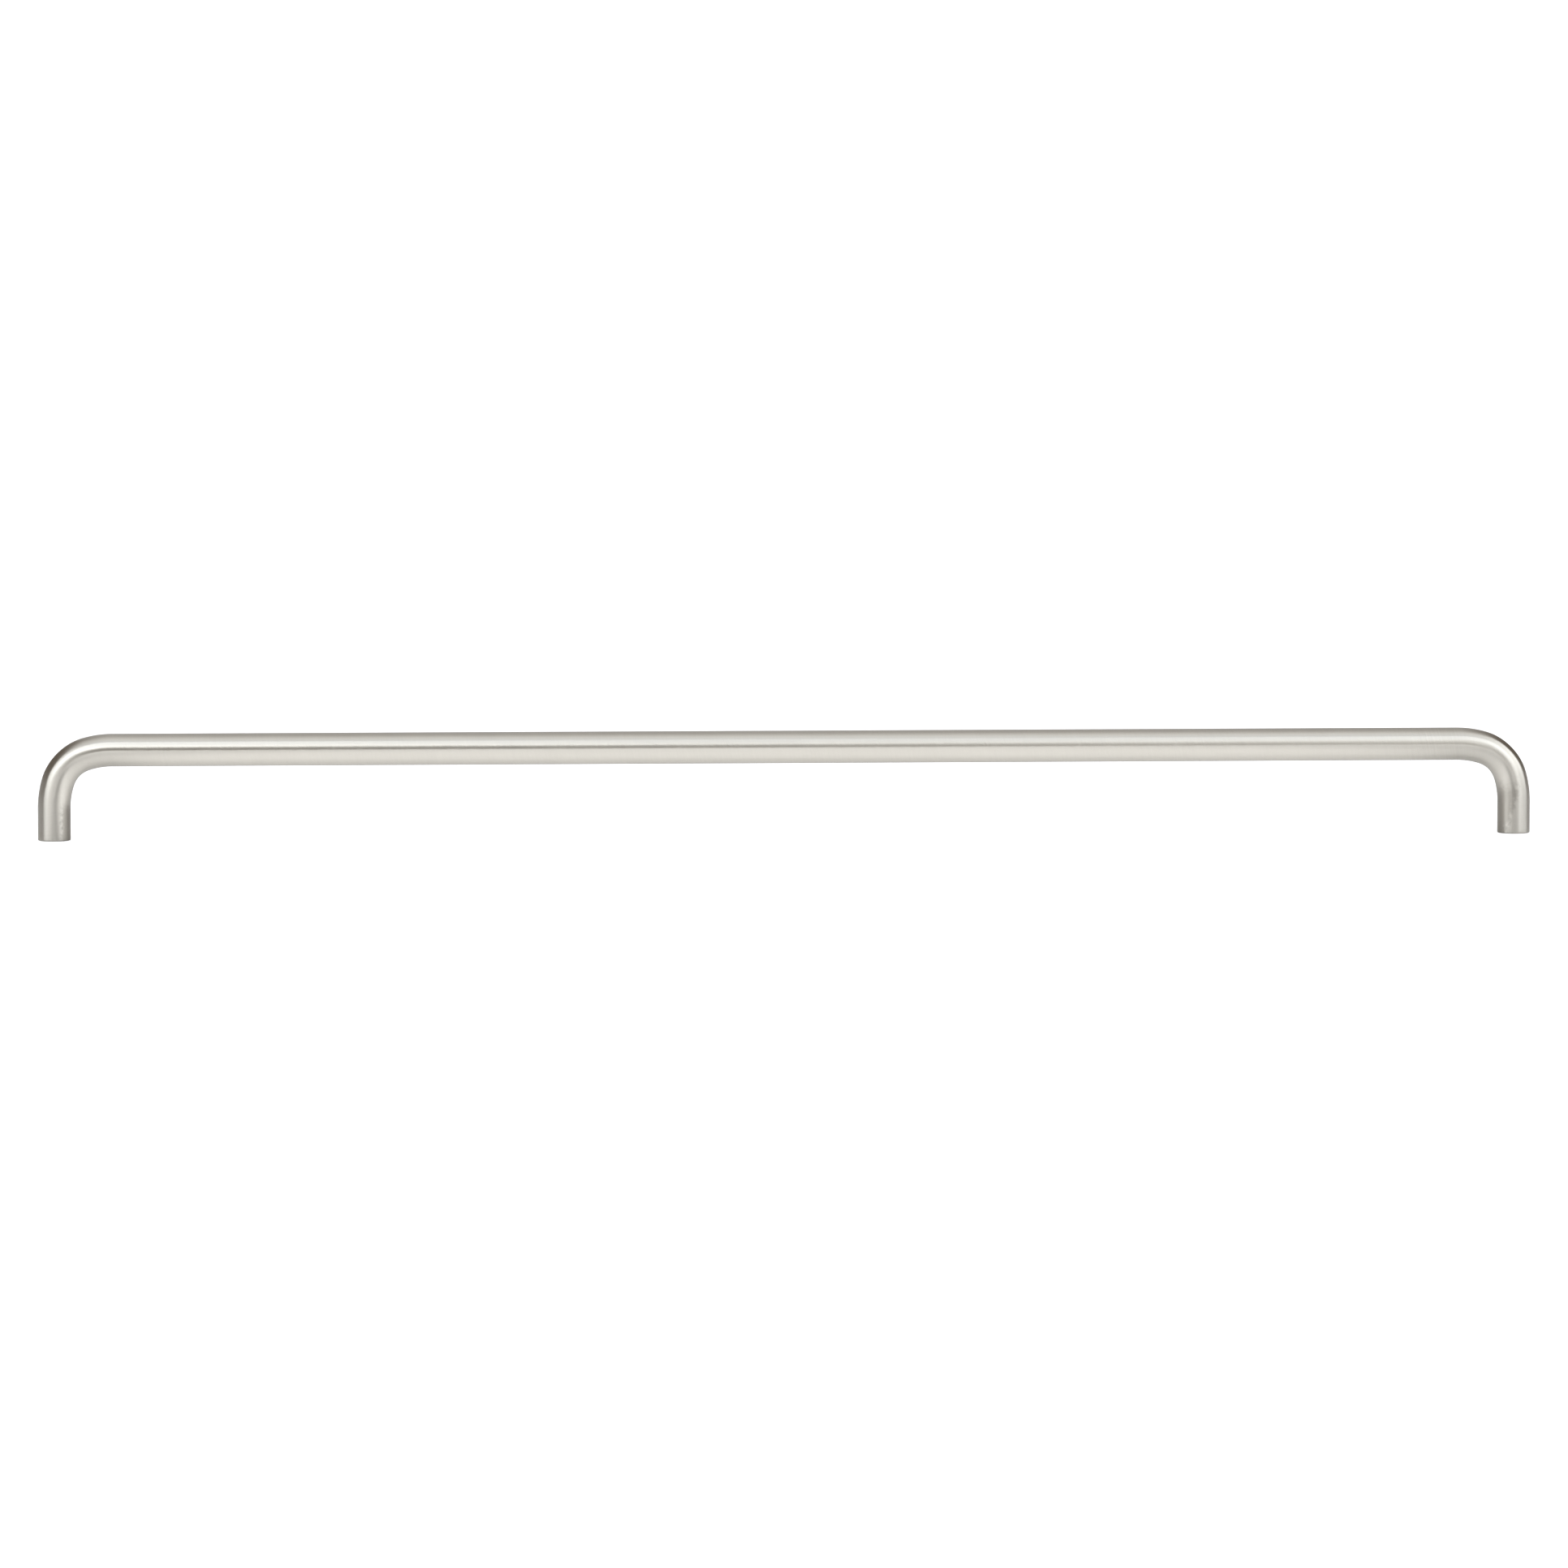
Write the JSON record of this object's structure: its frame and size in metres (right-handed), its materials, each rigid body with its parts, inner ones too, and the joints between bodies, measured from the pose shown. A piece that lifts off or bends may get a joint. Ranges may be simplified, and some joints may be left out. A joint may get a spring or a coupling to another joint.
{
  "type": "d-bar cabinet pull",
  "caption": "Long D-shaped cabinet pull in round satin steel bar, bent square at both ends, with flat feet tapped for machine screws from behind.",
  "frame": {"origin": "in the mounting plane, midway between the two screw holes", "axes": "+X along the grip, +Y across the bar, +Z out of the mounting plane towards the grip"},
  "size_m": [0.458, 0.01, 0.0325],
  "materials": {
    "bar": "satin stainless steel, linished across the bar"
  },
  "bodies": {
    "root": {"bar": "bar"}
  },
  "joints": []
}
